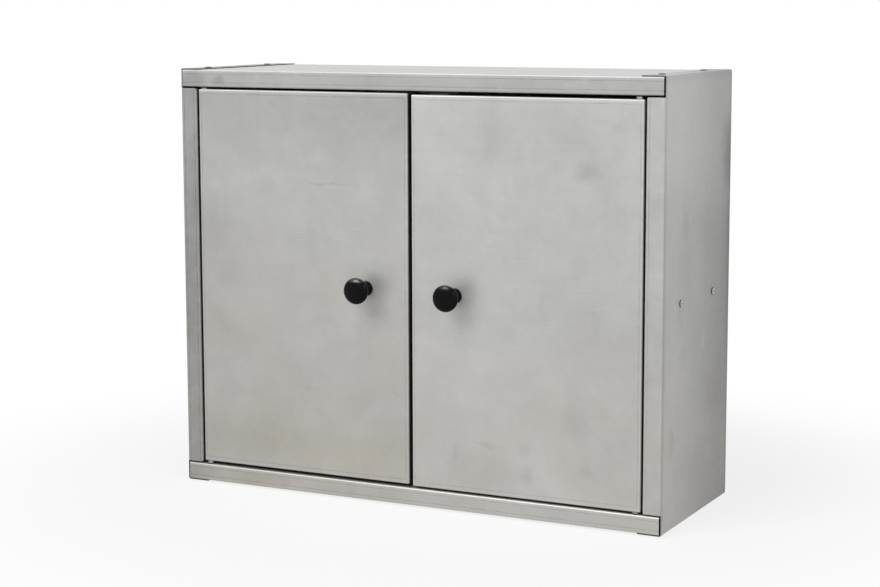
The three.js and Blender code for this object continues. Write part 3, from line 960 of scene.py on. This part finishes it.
class CABINET_OT_rivets(bpy.types.Operator):
    """Twelve blind rivets: domed heads outside, bulbs inside"""

    bl_idname = "cabinet.rivets"
    bl_label = "Rivets"

    def execute(self, context):
        settings = context.scene.cabinet_fitting
        master = turned("rivet", RIVET_PROFILE, settings.steps)
        for finish in (
            plated_finish("rivet_zinc", settings.rivet, roughness=0.36),
            plated_finish("rivet_stub", settings.stub, roughness=0.5, metallic=0.1),
            plated_finish("rivet_rim", settings.rim, roughness=0.6, metallic=0.1, mirror=0.15),
        ):
            master.data.materials.append(finish)
        # The bore takes the stub's near-black tone as painted shade, and the head's edge the rim's
        # tone, partly dirt and partly painted shade
        for face in master.data.polygons:
            reach = face.center.xy.length
            if face.center.z > 0 and reach < RIVET_BORE:
                face.material_index = 1
            elif face.center.z > 0 and reach > RIVET_RIM:
                face.material_index = 2
        smoothed(master, LATHE_ANGLE)
        for node in nodes_of("rivet"):
            low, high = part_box(node)
            spot = (low + high) / 2
            kind, hand = node.split("_")[1:3]
            axis, way, turn = RIVET_SEATS[hand if kind == "shelf" else kind]
            spot[axis] = (high if way > 0 else low)[axis] - way * RIVET_DOME
            rivet = placed(twin(master, f"{node}_turned"), spot, turn)
            dressed(rivet, node, "zinc_fitting")
        bpy.data.objects.remove(master)
        return {"FINISHED"}


class CABINET_OT_pivots(bpy.types.Operator):
    """Pivot pins in the rails and the loose washers that set each door's height"""

    bl_idname = "cabinet.pivots"
    bl_label = "Pivots"

    def execute(self, context):
        settings = context.scene.cabinet_fitting
        pin_zinc = plated_finish("pivot_pin_zinc", settings.zinc, roughness=0.3)
        washer_zinc = plated_finish("pivot_washer_zinc", settings.washer, roughness=0.40)
        # The shaded copy: the washer against the rail takes the rivet rim's dark tone as painted shade
        # of the rail's lip; the others keep the lit washer tone
        shaded_washer_zinc = plated_finish("pivot_washer_oiled", settings.rim, roughness=0.5,
                                   metallic=0.3, mirror=0.15)
        washer = flat_washer(**PIVOT_WASHER, steps=settings.steps)
        for node in nodes_of("pivot_pin"):
            low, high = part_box(node)
            tall = high.z - low.z
            head = [(radius, tall - below) for radius, below in PIN_HEAD]
            pin = turned(f"{node}_turned", PIN_TIP + head, settings.steps)
            smoothed(pin, LATHE_ANGLE)
            spot = (low + high) / 2
            up = node.startswith("pivot_pin_top")
            spot.z = low.z if up else high.z
            placed(pin, spot, (0 if up else HALF_TURN, 0, 0))
            dressed(pin, node, "zinc_fitting", pin_zinc)
        for node in nodes_of("pivot_washer"):
            low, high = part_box(node)
            spot = (low + high) / 2
            spot.z = low.z
            against_rail = node.endswith("_1")
            ring = placed(twin(washer, f"{node}_ring"), spot)
            dressed(ring, node, "zinc_fitting", shaded_washer_zinc if against_rail else washer_zinc)
        bpy.data.objects.remove(washer)
        return {"FINISHED"}


class CABINET_OT_knob_fixings(bpy.types.Operator):
    """The screw and the washer behind each knob"""

    bl_idname = "cabinet.knob_fixings"
    bl_label = "Knob fixings"

    def execute(self, context):
        settings = context.scene.cabinet_fitting
        zinc = plated_finish("knob_fixing_zinc", settings.zinc, roughness=0.32)
        washer = flat_washer(**KNOB_WASHER, steps=settings.steps)
        screw = turned("screw", KNOB_SCREW_PROFILE, settings.steps)
        crossed(screw, KNOB_SCREW_TOP, **KNOB_SCREW_CROSS)
        smoothed(screw, LATHE_ANGLE)
        turn = (-QUARTER_TURN, 0, 0)
        for hand in HANDS:
            low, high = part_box(f"knob_washer_{hand}")
            centre = (low + high) / 2
            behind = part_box(f"knob_{hand}")[1].y
            copy = placed(twin(washer, f"knob_washer_{hand}_ring"), (centre.x, low.y, centre.z), turn)
            dressed(copy, f"knob_washer_{hand}", "zinc_fitting", zinc)
            copy = placed(twin(screw, f"knob_screw_{hand}_turned"), (centre.x, behind, centre.z), turn)
            dressed(copy, f"knob_screw_{hand}", "zinc_fitting", zinc)
        bpy.data.objects.remove(washer)
        bpy.data.objects.remove(screw)
        return {"FINISHED"}


class CABINET_OT_catches(bpy.types.Operator):
    """Magnetic catches: housing, magnet between two pole plates, and two screws each"""

    bl_idname = "cabinet.catches"
    bl_label = "Catches"

    def execute(self, context):
        settings = context.scene.cabinet_catch
        fittings = context.scene.cabinet_fitting
        housing = moulded_finish("catch_housing", settings.housing, roughness=0.5,
                                 grain=0.00001, scale=1400.0)
        sinter = moulded_finish("catch_magnet", settings.magnet, roughness=0.62,
                                grain=0.00002, scale=2200.0)
        pole = plated_finish("catch_pole_plate", fittings.zinc, roughness=0.34)
        zinc = plated_finish("catch_screw_zinc", fittings.zinc, roughness=0.3)
        for hand in HANDS:
            body = merged_copy(f"catch_body_{hand}", f"catch_body_{hand}_moulded")
            eased(body, HOUSING_EDGE)
            dressed(body, f"catch_body_{hand}", "grey_plastic", housing)
            self.magnet(hand, settings.plate, sinter, pole)
        screw = turned("screw", CATCH_SCREW_PROFILE, fittings.steps)
        crossed(screw, CATCH_SCREW_TOP, **CATCH_SCREW_CROSS)
        smoothed(screw, LATHE_ANGLE)
        for node in nodes_of("catch_screw"):
            low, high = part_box(node)
            spot = (low + high) / 2
            spot.z = low.z - CATCH_SCREW_TOP
            dressed(placed(twin(screw, f"{node}_turned"), spot), node, "zinc_fitting", zinc)
        bpy.data.objects.remove(screw)
        return {"FINISHED"}

    def magnet(self, hand, plate, sinter, pole):
        """A sintered block set back between two steel plates."""
        node = f"catch_magnet_{hand}"
        low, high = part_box(node)
        choose()
        bpy.ops.mesh.primitive_cube_add(size=1, location=(low + high) / 2)
        piece = named(f"{node}_stack")
        piece.data.materials.append(sinter)
        piece.data.materials.append(pole)
        piece.scale = high - low
        bpy.ops.object.transform_apply(location=True, rotation=True, scale=True)
        for level in (low.z + plate, high.z - plate):
            edit(piece)
            bpy.ops.mesh.bisect(plane_co=(0, 0, level), plane_no=(0, 0, 1))
        bpy.ops.object.mode_set(mode="OBJECT")
        for face in piece.data.polygons:
            between = low.z + plate < face.center.z < high.z - plate
            face.material_index = 0 if between else 1
            face.select = between and face.normal.y < -0.9
        bpy.ops.object.mode_set(mode="EDIT")
        bpy.ops.mesh.extrude_region_move(
            TRANSFORM_OT_translate={"value": (0, MAGNET_SETBACK, 0)})
        bpy.ops.object.mode_set(mode="OBJECT")
        eased(piece, MAGNET_EDGE)
        dressed(piece, node, "magnet")


# Stage
SENSOR_WIDTH = 36
LAMP_AIM = (0.0, 0.0, 0.24)
# Name, the setting that holds its power, place and width
LAMPS = (
    ("key_lamp", "key", (-1.7, -2.3, 2.0), 1.1),
    ("fill_lamp", "fill", (2.6, -1.5, 2.0), 1.6),
    ("top_lamp", "crown", (-0.95, -2.65, 2.95), 2.0),
)
FLOOR_WIDTH, FLOOR_DROP = 24, 0.0002
FLOOR_PAINT = (0.84, 0.84, 0.84, 1)
# The floor turns from its share of white near the cabinet to all white between these
FLOOR_NEAR, FLOOR_FAR, FLOOR_WHITE_NEAR = 0.3, 0.8, 0.80


def area_lamp(name, power, spot, size):
    """A soft square lamp that looks at the cabinet."""
    lamp = bpy.data.lights.new(name, "AREA")
    lamp.energy = power
    lamp.size = size
    holder = bpy.data.objects.new(name, lamp)
    bpy.context.scene.collection.objects.link(holder)
    holder.location = spot
    way = Vector(LAMP_AIM) - Vector(spot)
    holder.rotation_euler = way.to_track_quat("-Z", "Y").to_euler()


def white_to_eye(nodes, share):
    """This share for what the eye, a mirror or glass sees, and 0 for all other light."""
    path = nodes.add("ShaderNodeLightPath")
    seen = path.outputs["Is Camera Ray"]
    for ray in ("Is Glossy Ray", "Is Transmission Ray"):
        seen = nodes.sum("MAXIMUM", seen, path.outputs[ray])
    return nodes.sum("MULTIPLY", seen, share)


class CABINET_OT_stage(bpy.types.Operator):
    """Pale floor, white surround, three soft lamps and the camera"""

    bl_idname = "cabinet.stage"
    bl_label = "Stage"

    def execute(self, context):
        settings = context.scene.cabinet_stage
        self.floor()
        self.surround(context.scene, settings.sky)
        for name, setting, spot, size in LAMPS:
            area_lamp(name, getattr(settings, setting), spot, size)
        self.camera(context.scene, settings)
        context.scene.view_settings.view_transform = "Standard"
        return {"FINISHED"}

    def floor(self):
        """A plain floor that keeps the shadow near the cabinet and is white far from it."""
        choose()
        bpy.ops.mesh.primitive_plane_add(size=FLOOR_WIDTH, location=(0, 0, -FLOOR_DROP))
        floor = named("floor")
        material = bpy.data.materials.new("pale_floor")
        material.use_nodes = True
        material.node_tree.nodes.clear()
        nodes = Nodes(material.node_tree)
        away = nodes.vector("LENGTH", nodes.add("ShaderNodeTexCoord").outputs["Object"])
        white = nodes.ramp(away, FLOOR_NEAR, FLOOR_FAR, FLOOR_WHITE_NEAR, 1.0, soft=True)
        mix = nodes.add("ShaderNodeMixShader", {
            0: white_to_eye(nodes, white),
            1: nodes.add("ShaderNodeBsdfDiffuse", {"Color": FLOOR_PAINT}).outputs[0],
            2: nodes.add("ShaderNodeEmission", {"Strength": 1.0}).outputs[0],
        })
        nodes.add("ShaderNodeOutputMaterial", {0: mix.outputs[0]})
        floor.data.materials.append(material)

    def surround(self, scene, strength):
        """An even sky of this strength that the eye and mirrors see as white."""
        world = bpy.data.worlds.new("surround")
        world.use_nodes = True
        scene.world = world
        nodes = Nodes(world.node_tree)
        sky = nodes.tree.nodes["Background"]
        sky.inputs["Color"].default_value = (1, 1, 1, 1)
        light = nodes.sum("ADD", white_to_eye(nodes, 1 - strength), strength)
        nodes.tree.links.new(light, sky.inputs["Strength"])

    def camera(self, scene, settings):
        """The camera of the photograph, from its place, turn and lens."""
        data = bpy.data.cameras.new("camera")
        data.sensor_width = SENSOR_WIDTH
        data.lens = settings.lens
        data.shift_y = settings.drop
        camera = bpy.data.objects.new("camera", data)
        scene.collection.objects.link(camera)
        turn = (Matrix.Rotation(settings.yaw, 4, "Z")
                @ Matrix.Rotation(QUARTER_TURN - settings.pitch, 4, "X")
                @ Matrix.Rotation(-settings.roll, 4, "Z"))
        camera.matrix_world = Matrix.Translation(settings.camera) @ turn
        scene.camera = camera


# Panel
OPERATORS = (
    CABINET_OT_carcass, CABINET_OT_doors, CABINET_OT_knobs, CABINET_OT_rivets,
    CABINET_OT_pivots, CABINET_OT_knob_fixings, CABINET_OT_catches, CABINET_OT_stage,
)


class CABINET_PT_panel(bpy.types.Panel):
    """Steps that dress the cabinet, in order, and the sizes and colours they use"""

    bl_idname = "CABINET_PT_panel"
    bl_label = "Steel Tool Cabinet"
    bl_space_type = "VIEW_3D"
    bl_region_type = "UI"
    bl_category = "Cabinet"

    def draw(self, context):
        for step in OPERATORS:
            self.layout.operator(step.bl_idname)
        for name, group in SETTINGS.items():
            box = self.layout.box()
            for prop in group.__annotations__:
                box.prop(getattr(context.scene, name), prop)


CLASSES = (*SETTINGS.values(), *OPERATORS, CABINET_PT_panel)


def register():
    """Makes the classes known and hangs the settings on the scene."""
    for kind in CLASSES:
        bpy.utils.register_class(kind)
    for name, group in SETTINGS.items():
        setattr(bpy.types.Scene, name, PointerProperty(type=group))


def unregister():
    """Takes the settings and the classes away again."""
    for name in SETTINGS:
        delattr(bpy.types.Scene, name)
    for kind in reversed(CLASSES):
        bpy.utils.unregister_class(kind)


def main():
    """Dresses the frame step by step."""
    register()
    for step in OPERATORS:
        area, name = step.bl_idname.split(".")
        getattr(getattr(bpy.ops, area), name)()
    choose()


if __name__ == "__main__":
    main()
